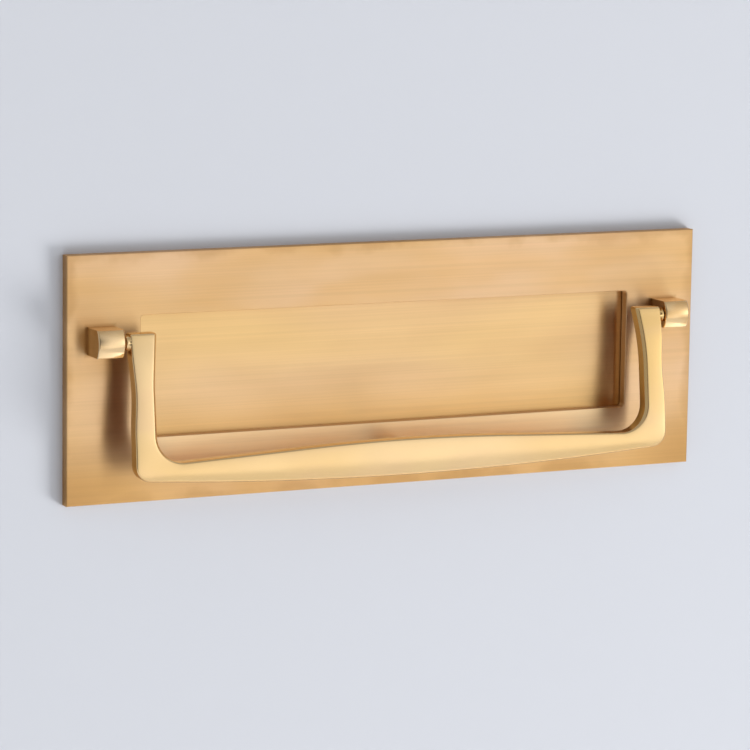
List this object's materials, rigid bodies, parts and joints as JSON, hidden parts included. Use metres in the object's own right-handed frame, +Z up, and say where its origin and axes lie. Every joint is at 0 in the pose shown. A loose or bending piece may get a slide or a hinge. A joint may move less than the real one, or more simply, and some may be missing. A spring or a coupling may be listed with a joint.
{
  "type": "wall mounted mailbox",
  "caption": "Brass letter plate for a door, with a hinged knocker that hangs from two posts and a sprung flap behind its letter slot.",
  "frame": {"origin": "middle of the plate's rear rim, in the plane where the rim bears on the door", "axes": "+X along the plate to the right as seen from outside, +Y into the door, +Z up"},
  "size_m": [0.254, 0.0759, 0.09],
  "materials": {
    "plate brass": "satin, brushed along its length",
    "flap brass": "satin",
    "knocker brass": "polished, softly",
    "post brass": "polished",
    "fitting brass": "as cast or turned",
    "steel": "zinc plated",
    "spring steel": "drawn wire",
    "rubber": "matt"
  },
  "bodies": {
    "plate_assembly": {"bracket_screw_left_1": "steel", "bracket_screw_left_2": "steel", "bracket_screw_right_1": "steel", "bracket_screw_right_2": "steel", "face_plate": "plate brass", "fixing_boss_left": "fitting brass", "fixing_boss_right": "fitting brass", "fixing_nut_left": "steel", "fixing_nut_right": "steel", "fixing_stud_left": "steel", "fixing_stud_right": "steel", "fixing_washer_left": "steel", "fixing_washer_right": "steel", "flap_buffer_left": "rubber", "flap_buffer_right": "rubber", "flap_spring_left": "spring steel", "flap_spring_right": "spring steel", "hinge_bracket_left": "fitting brass", "hinge_bracket_right": "fitting brass", "hinge_rod": "steel", "post_left": "post brass", "post_right": "post brass", "post_screw_left": "steel", "post_screw_right": "steel", "rod_clip_left": "steel", "rod_clip_right": "steel", "striker_stud": "post brass"},
    "knocker": {"knocker": "knocker brass"},
    "flap": {"flap": "flap brass"}
  },
  "joints": [
    {"name": "knocker_swing", "type": "hinge", "parent": "plate_assembly", "child": "knocker", "pos_m": [0, -0.0131, 0.0143], "axis": [-1, 0, 0], "range_deg": [0, 175]},
    {"name": "flap_swing", "type": "hinge", "parent": "plate_assembly", "child": "flap", "pos_m": [0, 0.0056, 0.025], "axis": [1, 0, 0], "range_deg": [0, 85], "stiffness_Nm_per_rad": 0.04, "springref_deg": -68.75, "deforming": ["flap_spring_left", "flap_spring_right"]}
  ]
}
